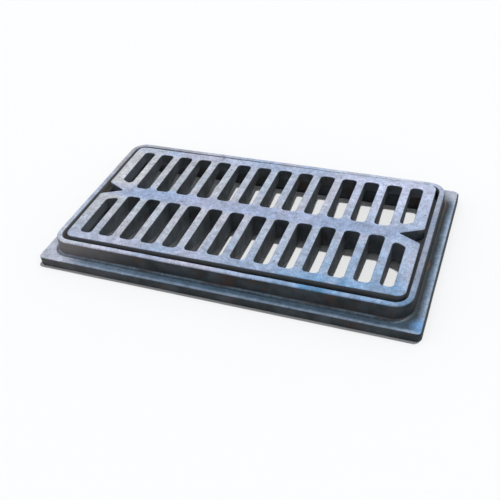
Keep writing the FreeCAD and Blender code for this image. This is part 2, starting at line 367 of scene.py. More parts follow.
def add_prism(name, points, radius):
    """An upright prism through the whole plate. Its corners, in mm, are rounded."""
    bpy.ops.object.select_all(action="DESELECT")
    bpy.ops.mesh.primitive_circle_add(vertices=len(points), fill_type="NGON")
    prism = bpy.context.object
    prism.name = name
    corners = [Vector((x, y)) for x, y in points]
    for vertex, corner in zip(prism.data.vertices, corners):
        vertex.co = (corner.x * MM, corner.y * MM, (BLOCK_LOW - CUT_PAST) * MM)
    start_editing(prism)
    bpy.ops.mesh.select_mode(type="VERT")
    for index, corner in enumerate(corners):
        back = (corners[index - 1] - corner).normalized()
        ahead = (corners[(index + 1) % len(corners)] - corner).normalized()
        turn = math.pi - back.angle(ahead)
        bpy.ops.mesh.select_all(action="DESELECT")
        mesh = bmesh.from_edit_mesh(prism.data)
        for vertex in mesh.verts:
            if (vertex.co.to_2d() / MM - corner).length < CLOSE:
                vertex.select_set(True)
        bmesh.update_edit_mesh(prism.data)
        bpy.ops.mesh.bevel(
            affect="VERTICES", offset=radius * math.tan(turn / 2) * MM,
            segments=PRISM_CORNER_STEPS, profile=0.5, clamp_overlap=False,
        )
    bpy.ops.mesh.select_mode(type="FACE")
    bpy.ops.mesh.select_all(action="SELECT")
    height = (GRATE_TOP - BLOCK_LOW + 2 * CUT_PAST) * MM
    bpy.ops.mesh.extrude_region_move(TRANSFORM_OT_translate={"value": (0, 0, height)})
    bpy.ops.mesh.select_all(action="SELECT")
    bpy.ops.mesh.normals_make_consistent(inside=False)
    stop_editing()
    return prism


# %% The cutters of the slots and notches


def copy_of(piece, offset):
    """A copy with its own mesh, moved by an offset in mm."""
    twin = piece.copy()
    twin.data = piece.data.copy()
    bpy.context.scene.collection.objects.link(twin)
    twin.location = Vector(offset) * MM
    return twin


def slot_cutters():
    """One slot is drawn, and copied along both rows."""
    west, east = -SLOT_WIDTH / 2, SLOT_WIDTH / 2
    first = add_prism(
        "slot", [(west, SLOT_NEAR), (east, SLOT_NEAR), (east, SLOT_FAR), (west, SLOT_FAR)],
        SLOT_CORNER,
    )
    cutters = []
    for index in range(FULL_SLOTS):
        along = (index - (FULL_SLOTS - 1) / 2) * PITCH
        cutters.append(copy_of(first, (along, 0, 0)))
        cutters.append(copy_of(first, (along, -SLOT_NEAR - SLOT_FAR, 0)))
    bpy.data.objects.remove(first)
    return cutters


def end_cutters():
    """The short slots beside the notches, and the notches themselves."""
    near = [NOTCH_SLOPE * (x - NOTCH_APEX) + WEB_LIFT for x in (END_SLOT_INNER, END_SLOT_OUTER)]
    mouth_x = GRATE[0] / 2 + CUT_PAST
    mouth_y = NOTCH_SLOPE * (mouth_x - NOTCH_APEX)
    cutters = []
    for end in (1, -1):
        for row in (1, -1):
            cutters.append(add_prism("end_slot", [
                (end * END_SLOT_INNER, row * near[0]),
                (end * END_SLOT_OUTER, row * near[1]),
                (end * END_SLOT_OUTER, row * SLOT_FAR),
                (end * END_SLOT_INNER, row * SLOT_FAR),
            ], SLOT_CORNER))
        cutters.append(add_prism("notch", [
            (end * NOTCH_APEX, 0), (end * mouth_x, -mouth_y), (end * mouth_x, mouth_y),
        ], NOTCH_POINT))
    return cutters


# %% The block
BLOCK_CORNER_STEPS = 8


def add_block():
    length, width, radius = GRATE
    bpy.ops.object.select_all(action="DESELECT")
    bpy.ops.mesh.primitive_cube_add(
        size=1, location=(0, 0, (GRATE_TOP + BLOCK_LOW) / 2 * MM),
        scale=(length * MM, width * MM, (GRATE_TOP - BLOCK_LOW) * MM),
    )
    block = bpy.context.object
    block.name = "grate_casting"
    bpy.ops.object.transform_apply(location=True, rotation=False, scale=True)
    start_editing(block)
    pick_edges(block, lambda edge: abs(edge.verts[0].co.z - edge.verts[1].co.z) > MM)
    round_picked(radius, BLOCK_CORNER_STEPS)
    stop_editing()
    return block


# %% Its slices
SLICE_STEP = 14.5
# Between these distances from the middle, the underside steps up from bow to seat.
SEAT_STEP = (389.3, 390.8)


def slice_block(block, axis, places):
    """Slices square to X (0) or Y (1), which leave the block whole."""
    start_editing(block)
    direction = Vector((0, 0, 0))
    direction[axis] = 1
    for place in places:
        bpy.ops.mesh.select_all(action="SELECT")
        bpy.ops.mesh.bisect(plane_co=direction * place * MM, plane_no=direction)
    stop_editing()


def lengthways_places():
    """Slices at the middle of each bar, and at the step up to the seat."""
    middles = [(index - FULL_SLOTS / 2) * PITCH for index in range(FULL_SLOTS + 1)]
    return middles + [end * place for place in SEAT_STEP for end in (1, -1)]


def crossways_places():
    """Slices across the bars, a millimetre or more clear of the slots' rounded corners."""
    first, last = SLOT_NEAR + SLOT_CORNER + 1, SLOT_FAR - SLOT_CORNER - 1
    count = round((last - first) / SLICE_STEP)
    places = [first + (last - first) * index / count for index in range(count + 1)]
    return [-place for place in places] + places


# %% Cutting all slots and notches at once


def join(pieces):
    bpy.ops.object.select_all(action="DESELECT")
    for piece in pieces:
        piece.select_set(True)
    bpy.context.view_layer.objects.active = pieces[0]
    bpy.ops.object.join()
    return pieces[0]


def cut_out(block, cutter):
    """Take the cutter's volume out of the block. All its prisms stand clear of each other."""
    cut = block.modifiers.new("cut", "BOOLEAN")
    cut.operation = "DIFFERENCE"
    cut.solver = "EXACT"
    cut.object = cutter
    bpy.ops.object.select_all(action="DESELECT")
    block.select_set(True)
    bpy.context.view_layer.objects.active = block
    bpy.ops.object.modifier_apply(modifier=cut.name)
    bpy.data.objects.remove(cutter)


# %% Rounding the grate's edges, while its underside is still flat
TOP_ROUND = 2.4
UNDER_ROUND = 1.2
# A face is a wall where its normal points up or down by less than this, out of 1.
WALL_SLOPE = 0.2


def borders_wall(edge):
    return any(abs(face.normal.z) < WALL_SLOPE for face in edge.link_faces)


def is_lip(edge):
    """An upright corner where a notch meets the short side."""
    low, high = sorted(vertex.co.z for vertex in edge.verts)
    x, y = abs(edge.verts[0].co.x) / MM, abs(edge.verts[0].co.y) / MM
    return high - low > MM and abs(x - GRATE[0] / 2) < CLOSE and abs(y - NOTCH_MOUTH / 2) < CLOSE


def is_brim(edge):
    return at_height(edge, GRATE_TOP) and borders_wall(edge)


def is_hem(edge):
    return at_height(edge, BLOCK_LOW) and borders_wall(edge)


def round_grate(piece):
    """Each kind of edge has its test, the width of its round and the steps in it."""
    lip_turn = math.pi / 2 - math.atan(NOTCH_SLOPE)
    rounds = [
        (is_lip, NOTCH_LIP * math.tan(lip_turn / 2), 4),
        (is_brim, TOP_ROUND, 3),
        (is_hem, UNDER_ROUND, 2),
    ]
    start_editing(piece)
    for wanted, width, steps in rounds:
        found = pick_edges(piece, wanted)
        round_picked(width, steps)
        print(wanted.__name__, "edges:", found)
    stop_editing()


# %% The bow of the bars


def underside(x, y):
    """Height of the underside, in mm: a bow under the bars, and flat at the seat."""
    drop = SEAT - BELLY
    bow = (BELLY_REACH ** 2 + drop ** 2) / (2 * drop)
    if abs(y) >= BELLY_REACH or abs(x) > sum(SEAT_STEP) / 2:
        return SEAT
    return SEAT - (math.sqrt(bow ** 2 - y ** 2) - (bow - drop))


def push_up_underside(piece):
    for vertex in piece.data.vertices:
        if vertex.co.z / MM < BLOCK_LOW + UNDER_ROUND + CLOSE:
            place = vertex.co / MM
            vertex.co.z += (underside(place.x, place.y) - BLOCK_LOW) * MM


# %% The whole grate
# It lies loose in its frame, a little off centre, in mm, and turned, in degrees.
GRATE_SHIFT = (1.2, 5.8)
GRATE_TURN = 0.42


def make_grate_casting():
    piece = add_block()
    slice_block(piece, 0, lengthways_places())
    slice_block(piece, 1, crossways_places())
    cut_out(piece, join(slot_cutters() + end_cutters()))
    round_grate(piece)
    push_up_underside(piece)
    piece.rotation_euler.z = math.radians(GRATE_TURN)
    piece.location = (GRATE_SHIFT[0] * MM, GRATE_SHIFT[1] * MM, 0)
    bpy.ops.object.transform_apply(location=True, rotation=True, scale=False)
    let_wander(piece)
    keep_inside(piece, "grate")
    finish_mesh(piece)
    return piece


grate_casting = make_grate_casting()
print("grate casting:", len(grate_casting.data.polygons), "faces")

# %% [markdown]
# ## Colours and nodes
#
# A colour that is picked on a screen is written for the eye, and Blender counts in linear
# light, so one function turns the first into the second. Shader nodes can be wired by
# hand in the editor. A script that does it line by line gets long, so one small function
# adds any node, sets it up and links what it is given.

# %% Colours and nodes


def linear(code):
    """A #rrggbb colour, as painters and screens write it, turned into linear light."""
    shares = [int(code[place:place + 2], 16) / 255 for place in (1, 3, 5)]
    curve = [s / 12.92 if s <= 0.04045 else ((s + 0.055) / 1.055) ** 2.4 for s in shares]
    return (*curve, 1.0)


def per(size):
    """The scale of a pattern whose marks are this many millimetres apart."""
    return 1 / (size * MM)


def new_material(name):
    material = bpy.data.materials.new(name)
    material.use_nodes = True
    material.node_tree.nodes.clear()
    return material


def add_node(material, kind, settings=None, **inputs):
    """One shader node. An input is a value, or a node or one of its outputs to link from."""
    node = material.node_tree.nodes.new("ShaderNode" + kind)
    for setting, choice in (settings or {}).items():
        setattr(node, setting, choice)
    for label, given in inputs.items():
        socket = next(
            s for s in node.inputs
            if s.enabled and label in (s.identifier, s.name.replace(" ", "_"))
        )
        if isinstance(given, bpy.types.Node):
            given = next(output for output in given.outputs if output.enabled)
        if isinstance(given, bpy.types.NodeSocket):
            material.node_tree.links.new(given, socket)
        else:
            socket.default_value = given
    return node


# %% [markdown]
# ## The finish: grey iron, cast in sand, under a thin black coat
#
# Both castings are grey iron. The sand leaves a fine grain with shallow lumps, and the
# castings are dipped in a thin black bitumen paint. The upper faces are painted a pale,
# cloudy blue-grey, which is painted sheen: the light from above, as it lies on the coat.
# The faces that drop away keep the black of the coat, with brown where iron shows through.
# Two materials could be painted on by hand, face by face, but the border would be a hard
# line. So each material asks which way the surface faces, and turns from pale to black
# over the rounds of the edges.

# %% Which way the surface faces
SMOOTHLY = {"interpolation_type": "SMOOTHSTEP"}
MIX = {"data_type": "RGBA"}
MULTIPLY = {"data_type": "RGBA", "blend_type": "MULTIPLY"}
# How far up a normal points, out of 1, where a face counts as a wall and as a top.
STEEP, LEVEL = 0.3, 0.85


def add_facing(material):
    """1 on faces that look up, which get the pale painted sheen, 0 on walls and on what looks
    down.
    """
    normal = add_node(material, "NewGeometry").outputs["Normal"]
    upward = add_node(material, "SeparateXYZ", Vector=normal).outputs["Z"]
    return add_node(
        material, "MapRange", SMOOTHLY, Value=upward, From_Min=STEEP, From_Max=LEVEL
    )


# %% Clouds and patches over a colour


def add_clouding(material, place, colour, clouds):
    """Each cloud has its size in mm, and how far it darkens and lightens the colour."""
    for size, low, high in clouds:
        noise = add_node(material, "TexNoise", Vector=place, Scale=per(size), Detail=3.0)
        shade = add_node(
            material, "MapRange", Value=noise, From_Min=0.3, From_Max=0.7, To_Min=low,
            To_Max=high,
        )
        colour = add_node(material, "Mix", MULTIPLY, Factor=1.0, A=colour, B=shade)
    return colour


def add_nearness(material, place, point, near, far, most):
    """The most within a distance of a point, fading to nothing. Distances are in mm."""
    apart = add_node(
        material, "VectorMath", {"operation": "DISTANCE"}, Vector=place,
        Vector_001=Vector(point) * MM,
    ).outputs["Value"]
    return add_node(
        material, "MapRange", SMOOTHLY, Value=apart, From_Min=near * MM, From_Max=far * MM,
        To_Min=most, To_Max=0.0,
    )


def add_patches(material, place, colour, patches):
    """Each patch has a point, its near and far distance, its strength and its colour."""
    for point, near, far, most, patch_colour in patches:
        close = add_nearness(material, place, point, near, far, most)
        colour = add_node(
            material, "Mix", MIX, Factor=close, A=colour, B=linear(patch_colour)
        )
    return colour


# %% The pale upper faces: painted sheen
# The pale tops are painted sheen of the light from above, in two tints.
LILAC_GREY = "#b7bace"
SKY_GREY = "#a2b2ce"
TINT_SIZE = 120
# A painted reflection of the blue sky, strongest near the front right corner.
PAINTED_SKY_BLUE = "#5f93bf"
SMEAR_SIZE = 50
PAINTED_SKY_PLACE = (300, -290, 64)
PAINTED_SKY_NEAR, PAINTED_SKY_FAR = 90, 300
COAT_CLOUDS = [(30, 0.78, 1.16), (11, 0.8, 1.16), (4, 0.78, 1.22)]
PIT_GREY = "#5c6475"
PIT_DARKNESS = 0.7
PIT_SPACINGS = (12, 36)
# Where a pit is darkest and where it ends, as shares of the space between pits.
PIT_CORE, PIT_EDGE = 0.06, 0.12


def add_tints(material, place, sky_sheen):
    """Painted sheen in two tints, with smears of painted sky reflection near the front right
    corner.
    """
    drift = add_node(material, "TexNoise", Vector=place, Scale=per(TINT_SIZE), Detail=2.0)
    tint = add_node(material, "MapRange", Value=drift, From_Min=0.4, From_Max=0.6)
    top = add_node(material, "Mix", MIX, Factor=tint, A=linear(LILAC_GREY), B=linear(SKY_GREY))
    smears = add_node(material, "TexNoise", Vector=place, Scale=per(SMEAR_SIZE), Detail=3.0)
    most = add_node(
        material, "MapRange", Value=smears, From_Min=0.35, From_Max=0.65, To_Min=sky_sheen / 3,
        To_Max=sky_sheen,
    )
    near_sky_sheen = add_nearness(material, place, PAINTED_SKY_PLACE, PAINTED_SKY_NEAR, PAINTED_SKY_FAR, most)
    return add_node(material, "Mix", MIX, Factor=near_sky_sheen, A=top, B=linear(PAINTED_SKY_BLUE))


def add_weathering(material, place, top):
    """Clouds of three sizes over the pale coat, and pits of two."""
    top = add_clouding(material, place, top, COAT_CLOUDS)
    for spacing in PIT_SPACINGS:
        pits = add_node(material, "TexVoronoi", Vector=place, Scale=per(spacing))
        in_pit = add_node(
            material, "MapRange", Value=pits.outputs["Distance"], From_Min=PIT_CORE,
            From_Max=PIT_EDGE, To_Min=PIT_DARKNESS, To_Max=0.0,
        )
        top = add_node(material, "Mix", MIX, Factor=in_pit, A=top, B=linear(PIT_GREY))
    return top


# %% The black walls
COAT_BLACK = "#2a3033"
COAT_GREY = "#434a50"
COAT_PATCH_SIZE = 35
IRON_BROWN = "#4a3830"
BROWN_SIZE = 60
RUST = "#63402f"
FLECK_SIZE = 14


def add_dark_wall(material, place, black, grey, browning):
    """Black coat, in patches of two darknesses, with brown clouds and flecks of rust."""
    patches = add_node(
        material, "TexNoise", Vector=place, Scale=per(COAT_PATCH_SIZE), Detail=3.0
    )
    tint = add_node(material, "MapRange", Value=patches, From_Min=0.35, From_Max=0.65)
    wall = add_node(material, "Mix", MIX, Factor=tint, A=linear(black), B=linear(grey))
    clouds = add_node(material, "TexNoise", Vector=place, Scale=per(BROWN_SIZE), Detail=4.0)
    browned = add_node(
        material, "MapRange", Value=clouds, From_Min=0.52, From_Max=0.68, To_Max=browning
    )
    wall = add_node(material, "Mix", MIX, Factor=browned, A=wall, B=linear(IRON_BROWN))
    flecks = add_node(material, "TexNoise", Vector=place, Scale=per(FLECK_SIZE), Detail=4.0)
    rusted = add_node(
        material, "MapRange", Value=flecks, From_Min=0.62, From_Max=0.7, To_Max=browning * 3 / 4
    )
    return add_node(material, "Mix", MIX, Factor=rusted, A=wall, B=linear(RUST))


# %% Grain and gloss, and the coat put together
# Sizes and depths in mm.
GRAIN = 1.6
GRAIN_DEPTH = 0.12
LUMPS = 10
LUMP_DEPTH = 0.5
DULLING_SIZE = 20
TOP_ROUGHNESS = (0.42, 0.6)
WALL_ROUGHNESS = 0.75
# Fresh bitumen paint mirrors at 0.5, and weather and dust leave it less than half of that.
REFLECTION = 0.22


def add_sand_skin(material, place):
    """The skin that sand leaves. Real grains are 0.3 mm, and are drawn larger, to show."""
    lumps = add_node(material, "TexNoise", Vector=place, Scale=per(LUMPS), Detail=2.0)
    grain = add_node(material, "TexNoise", Vector=place, Scale=per(GRAIN), Detail=2.0)
    uneven = add_node(material, "Bump", Distance=LUMP_DEPTH * MM, Height=lumps)
    return add_node(material, "Bump", Distance=GRAIN_DEPTH * MM, Height=grain, Normal=uneven)


def coat(material, place, top, wall):
    """Put the pale painted sheen of the tops and the dark walls together, with their gloss and
    their skin.
    """
    facing = add_facing(material)
    colour = add_node(material, "Mix", MIX, Factor=facing, A=wall, B=top)
    dulling = add_node(material, "TexNoise", Vector=place, Scale=per(DULLING_SIZE), Detail=2.0)
    top_roughness = add_node(
        material, "MapRange", Value=dulling, From_Min=0.3, From_Max=0.7,
        To_Min=TOP_ROUGHNESS[0], To_Max=TOP_ROUGHNESS[1],
    )
    roughness = add_node(material, "Mix", Factor=facing, A=WALL_ROUGHNESS, B=top_roughness)
    shader = add_node(
        material, "BsdfPrincipled", Base_Color=colour, Roughness=roughness,
        Specular_IOR_Level=REFLECTION, Normal=add_sand_skin(material, place),
    )
    add_node(material, "OutputMaterial", Surface=shader)


# %% [markdown]
# ## The joint's paler top
#
# The walls of the joint between the two castings are paler grey near the road than
# further down. A picture could hold it, but the picture would have to be laid out over
# every face. The joint's walls are found by their place instead, with the same measure of
# a rounded rectangle that picked the edges, now in shader nodes.

# %% How far outside a rounded rectangle, and the joint's paler top
JOINT_PALE_GREY = "#8a8d90"
JOINT_PALING = 0.8
JOINT_PALE_DEPTH = 16


def add_outside_by(material, place, outline):
    """How far outside a rounded rectangle, in metres. Deep inside, it stays at -radius."""
    length, width, radius = outline
    # The third size is more than any height here, so that height never counts.
    core = Vector((length / 2 - radius, width / 2 - radius, length)) * MM
    mirrored = add_node(material, "VectorMath", {"operation": "ABSOLUTE"}, Vector=place)
    past = add_node(
        material, "VectorMath", {"operation": "SUBTRACT"}, Vector=mirrored, Vector_001=core
    )
    past = add_node(
        material, "VectorMath", {"operation": "MAXIMUM"}, Vector=past, Vector_001=(0, 0, 0)
    )
    corner = add_node(material, "VectorMath", {"operation": "LENGTH"}, Vector=past)
    return add_node(
        material, "Math", {"operation": "SUBTRACT"}, Value=corner.outputs["Value"],
        Value_001=radius * MM,
    )


def add_pale_joint_top(material, place, wall, outline, clean, silted):
    """Paler grey on walls, between two distances outside an outline: none at one, most at the
    other.
    """
    height = add_node(material, "SeparateXYZ", Vector=place).outputs["Z"]
    in_joint = add_node(
        material, "MapRange", Value=add_outside_by(material, place, outline),
        From_Min=clean * MM, From_Max=silted * MM, To_Max=JOINT_PALING,
    )
    most = add_node(
        material, "MapRange", Value=height, From_Min=(GRATE_TOP - JOINT_PALE_DEPTH) * MM,
        From_Max=(GRATE_TOP - JOINT_PALE_DEPTH / 2) * MM, To_Max=in_joint,
    )
    return add_node(material, "Mix", MIX, Factor=most, A=wall, B=linear(JOINT_PALE_GREY))


# %% [markdown]
# ## The grate's own wear
#
# The bars are rubbed to a plainer grey than the rest, most of all on the left, and the
# spine between the rows is bluer. Dust lies in the slots near both ends, where less water
# falls through. Colours could be stored on the mesh's points, but a bar has only a few, and
# a colour between two points is a blur. So bars, spine and ends are found by how far they
# are from the middle.

# %% Bars, spine and the slots' dust
BAR_GREY = "#b7bbc0"
SPINE_BLUE = "#8498be"
SLOT_DUST = "#818a96"
LEFT_RUBBING, RIGHT_RUBBING = 0.8, 0.1
SPINE_BLUEING = 0.4
END_DUSTING = 0.4
ROW_MIDDLE = (SLOT_NEAR + SLOT_FAR) / 2
ROW_REACH = (SLOT_FAR - SLOT_NEAR) / 2
# The tints fade over these lengths and between these distances, in mm.
BAR_FADE = 14
SPINE_FADE = (SLOT_NEAR - 6, SLOT_NEAR + 10)
DUSTY_ENDS = (290, 410)


def add_bars_and_spine(material, axes, top):
    """Bars rubbed to a plain grey, most on the left, and a bluer spine between the rows."""
    across = add_node(
        material, "Math", {"operation": "SUBTRACT"}, Value=axes.outputs["Y"],
        Value_001=GRATE_SHIFT[1] * MM,
    )
    from_spine = add_node(material, "Math", {"operation": "ABSOLUTE"}, Value=across)
    blued = add_node(
        material, "MapRange", Value=from_spine, From_Min=SPINE_FADE[0] * MM,
        From_Max=SPINE_FADE[1] * MM, To_Min=SPINE_BLUEING, To_Max=0.0,
    )
    top = add_node(material, "Mix", MIX, Factor=blued, A=top, B=linear(SPINE_BLUE))
    most = add_node(
        material, "MapRange", Value=axes.outputs["X"], From_Min=-GRATE[0] / 2 * MM,
        From_Max=GRATE[0] / 2 * MM, To_Min=LEFT_RUBBING, To_Max=RIGHT_RUBBING,
    )
    from_row = add_node(
        material, "Math", {"operation": "SUBTRACT"}, Value=from_spine, Value_001=ROW_MIDDLE * MM
    )
    from_row = add_node(material, "Math", {"operation": "ABSOLUTE"}, Value=from_row)
    rubbed = add_node(
        material, "MapRange", Value=from_row, From_Min=(ROW_REACH - BAR_FADE) * MM,
        From_Max=ROW_REACH * MM, To_Min=most, To_Max=0.0,
    )
    return add_node(material, "Mix", MIX, Factor=rubbed, A=top, B=linear(BAR_GREY))


def add_end_dust(material, axes, wall):
    """Dust in the slots near both ends, where less water falls through."""
    from_middle = add_node(material, "Math", {"operation": "ABSOLUTE"}, Value=axes.outputs["X"])
    dust_and_painted_light = add_node(
        material, "MapRange", SMOOTHLY, Value=from_middle, From_Min=DUSTY_ENDS[0] * MM,
        From_Max=DUSTY_ENDS[1] * MM, To_Max=END_DUSTING,
    )
    return add_node(material, "Mix", MIX, Factor=dust_and_painted_light, A=wall, B=linear(SLOT_DUST))


# %% The grate's material
SLOT_BLACK = "#3b4246"
SLOT_GREY = "#596168"
GRATE_SKY_SHEEN = 0.95
GRATE_BROWNING = 0.35
GRATE_JOINT_PALE = (-14, -11)
GRATE_PATCHES = [
    ((-412, 115, 65), 60, 160, 0.5, "#cdced2"),
    ((350, 205, 65), 60, 220, 0.5, "#c8d2f0"),
    ((-380, -200, 65), 40, 110, 0.5, "#98a8c0"),
    ((0, -200, 65), 40, 140, 0.45, "#8aa3c4"),
]


def make_grate_coat():
    material = new_material("bitumen_coated_grate_iron")
    place = add_node(material, "TexCoord").outputs["Object"]
    axes = add_node(material, "SeparateXYZ", Vector=place)
    top = add_tints(material, place, GRATE_SKY_SHEEN)
    top = add_bars_and_spine(material, axes, top)
    top = add_patches(material, place, top, GRATE_PATCHES)
    top = add_weathering(material, place, top)
    wall = add_dark_wall(material, place, SLOT_BLACK, SLOT_GREY, GRATE_BROWNING)
    wall = add_end_dust(material, axes, wall)
    wall = add_pale_joint_top(material, place, wall, GRATE, *GRATE_JOINT_PALE)
    coat(material, place, top, wall)
    return material


grate_coat = make_grate_coat()
print("grate's material:", len(grate_coat.node_tree.nodes), "nodes")

# %% [markdown]
# ## The frame's own dirt, and its painted light and shade
#
# The frame has the same coat, but its flange lies low and keeps its dirt. It is slate
# coloured, and painted shade makes it darker to the right. Dust and some rust lie at the
# collar's foot, and the flange's outer edge carries a pale painted highlight. The right-hand
# side is painted shade from the flange up to the rim, with the collar's painted shadow on
# the flange, and the walls at the left end are paler with painted light. The ledge inside
# the collar is black with painted shade and dirt. Of the corners, the front left one is pale
# with painted light, the back right one is as pale as the tops, and the front right one is a
# bright blue painted reflection of the sky. A mask could be painted, but a mask is a picture.
# Here distances are worked out from the object's own coordinates, so that each kind of dirt
# and painted light keeps its width all the way along, and a few millimetres of noise are
# added to most of them, so that the borders waver.

# %% Mud, painted shadow and slate on the flange
FLANGE_MUD = "#4a565e"
# Painted shade: the collar's shadow on the right flange, and the right-hand walls.
RIGHT_PAINTED_SHADE = "#1b2428"
# How wide the mud is along the front, the back and the left, and the collar's painted shadow on
# the right, in mm.
MUD_AND_SHADOW_WIDTHS = (5, 21)
MUD_AND_SHADOW_BORDER = 8
FLANGE_SLATE = "#445a6e"
# Darker slate to the right: painted shade.
RIGHT_SHADED_SLATE = "#314454"
SLATE_SHADE_SPAN = (-300, 300)


def add_mud_shadow_and_slate(material, along, to_right_side, from_foot):
    """Slate that painted shade darkens to the right, and mud at the foot, which on the right is
    the collar's wide, black painted shadow.
    """
    mud_and_shadow_width = add_node(
        material, "MapRange", Value=to_right_side, To_Min=MUD_AND_SHADOW_WIDTHS[0] * MM,
        To_Max=MUD_AND_SHADOW_WIDTHS[1] * MM,
    )
    past_mud_and_shadow = add_node(
        material, "Math", {"operation": "SUBTRACT"}, Value=from_foot, Value_001=mud_and_shadow_width
    )
    out_of_mud_and_shadow = add_node(
        material, "MapRange", SMOOTHLY, Value=past_mud_and_shadow, From_Min=-MUD_AND_SHADOW_BORDER * MM,
        From_Max=MUD_AND_SHADOW_BORDER * MM,
    )
    rightward_shade = add_node(
        material, "MapRange", Value=along, From_Min=SLATE_SHADE_SPAN[0] * MM,
        From_Max=SLATE_SHADE_SPAN[1] * MM,
    )
    mud_and_shadow = add_node(
        material, "Mix", MIX, Factor=to_right_side, A=linear(FLANGE_MUD), B=linear(RIGHT_PAINTED_SHADE)
    )
    slate = add_node(
        material, "Mix", MIX, Factor=rightward_shade, A=linear(FLANGE_SLATE), B=linear(RIGHT_SHADED_SLATE)
    )
    return add_node(material, "Mix", MIX, Factor=out_of_mud_and_shadow, A=mud_and_shadow, B=slate)


# %% Dust and rust at the collar's foot
FOOT_DUST = "#8397a8"
FOOT_DUST_BORDER = (5, 12.5)
FOOT_RUST = "#5c4338"
FOOT_RUSTING = 0.7
RUST_PATCH_SIZE = 70
FOOT_RUST_BORDER = (8, 15)


def add_foot_dust(material, from_foot, to_right_side, top):
    """A strip of dust, which the collar's painted shadow covers on the right."""
    most = add_node(material, "MapRange", Value=to_right_side, To_Min=1.0, To_Max=0.0)
    dust_and_painted_light = add_node(
        material, "MapRange", SMOOTHLY, Value=from_foot, From_Min=FOOT_DUST_BORDER[0] * MM,
        From_Max=FOOT_DUST_BORDER[1] * MM, To_Min=most, To_Max=0.0,
    )
    return add_node(material, "Mix", MIX, Factor=dust_and_painted_light, A=top, B=linear(FOOT_DUST))


def add_foot_rust(material, place, from_foot, top):
    """Rust that comes through in places."""
    patches = add_node(
        material, "TexNoise", Vector=place, Scale=per(RUST_PATCH_SIZE), Detail=2.0
    )
    most = add_node(
        material, "MapRange", Value=patches, From_Min=0.48, From_Max=0.6, To_Max=FOOT_RUSTING
    )
    rusted = add_node(
        material, "MapRange", SMOOTHLY, Value=from_foot, From_Min=FOOT_RUST_BORDER[0] * MM,
        From_Max=FOOT_RUST_BORDER[1] * MM, To_Min=most, To_Max=0.0,
    )
    return add_node(material, "Mix", MIX, Factor=rusted, A=top, B=linear(FOOT_RUST))


# %% The flange's outer edge: painted highlight, and painted shade on the right
PAINTED_EDGE_HIGHLIGHT = "#93a5bd"
# The painted highlight is this strong along the front, the back and the left, and full on the
# right.
HIGHLIGHT_STRENGTH = 0.5
# Distances in mm outside the flange, so that a negative one is on it.
HIGHLIGHT_BORDER = (-7, 2)
RIGHT_HIGHLIGHT_BORDER = (-17, 6)
# Painted shade round the right-hand edge.
RIGHT_EDGE_SHADE_BORDER = (-4, -2)
RIGHT_END = FLANGE[0] / 2


def add_painted_edge_highlight(material, to_right_side, from_outline, top):
    """A painted highlight along the rounded outer edge."""
    most = add_node(material, "MapRange", Value=to_right_side, To_Min=HIGHLIGHT_STRENGTH)
    on_highlight = add_node(
        material, "MapRange", SMOOTHLY, Value=from_outline, From_Min=HIGHLIGHT_BORDER[0] * MM,
        From_Max=HIGHLIGHT_BORDER[1] * MM, To_Max=most,
    )
    return add_node(material, "Mix", MIX, Factor=on_highlight, A=top, B=linear(PAINTED_EDGE_HIGHLIGHT))


def add_right_highlight(material, wavy_along, top):
    """A painted highlight beside the collar's painted shadow on the right."""
    on_right_highlight = add_node(
        material, "MapRange", SMOOTHLY, Value=wavy_along,
        From_Min=(RIGHT_END + RIGHT_HIGHLIGHT_BORDER[0]) * MM,
        From_Max=(RIGHT_END + RIGHT_HIGHLIGHT_BORDER[1]) * MM,
    )
    return add_node(material, "Mix", MIX, Factor=on_right_highlight, A=top, B=linear(PAINTED_EDGE_HIGHLIGHT))


def add_right_edge_shade(material, along, top):
    """Painted shade in the coat's black, round the right-hand edge."""
    in_edge_shade = add_node(
        material, "MapRange", Value=along, From_Min=(RIGHT_END + RIGHT_EDGE_SHADE_BORDER[0]) * MM,
        From_Max=(RIGHT_END + RIGHT_EDGE_SHADE_BORDER[1]) * MM,
    )
    return add_node(material, "Mix", MIX, Factor=in_edge_shade, A=top, B=linear(COAT_BLACK))


# %% The flange's top, put together
# The right-hand side begins between these distances from the middle, in mm.
RIGHT_SIDE = (410, 460)
WAVE_SIZE = 45
# The most that waves add to a distance, in mm.
MUD_AND_SHADOW_WAVES, DUST_WAVES, EDGE_WAVES = 16, 4, 8
# The flange's colours end this far inside the collar's outline, under its rim. Inside, the ledge
# is painted black, as painted shade and dirt.
UNDER_COLLAR = 12
FLANGE_CLOUDS = [(16, 0.76, 1.24), (5, 0.76, 1.24)]
# Pale at two corners: at the front left one it is painted light.
PALE_CORNER = "#b4b9c8"
# A painted reflection of the sky, at the flange's front right corner.
BRIGHT_PAINTED_SKY_GLINT = "#6a9cd0"
FLANGE_PATCHES = [
    ((-480, -265, 25), 100, 420, 0.14, PALE_CORNER),
    ((-480, -265, 25), 40, 140, 0.95, PALE_CORNER),
    ((478, 255, 25), 10, 60, 0.9, PALE_CORNER),
    ((478, -242, 25), 6, 34, 0.8, BRIGHT_PAINTED_SKY_GLINT),
]


def add_waving(material, place, distances):
    """Distances with waves added: each has its waves' height in mm, and a node."""
    waves = add_node(material, "TexNoise", Vector=place, Scale=per(WAVE_SIZE), Detail=4.0)
    return [
        add_node(
            material, "Math", {"operation": "MULTIPLY_ADD"}, Value=waves,
            Value_001=height * MM, Value_002=distance,
        )
        for height, distance in distances
    ]


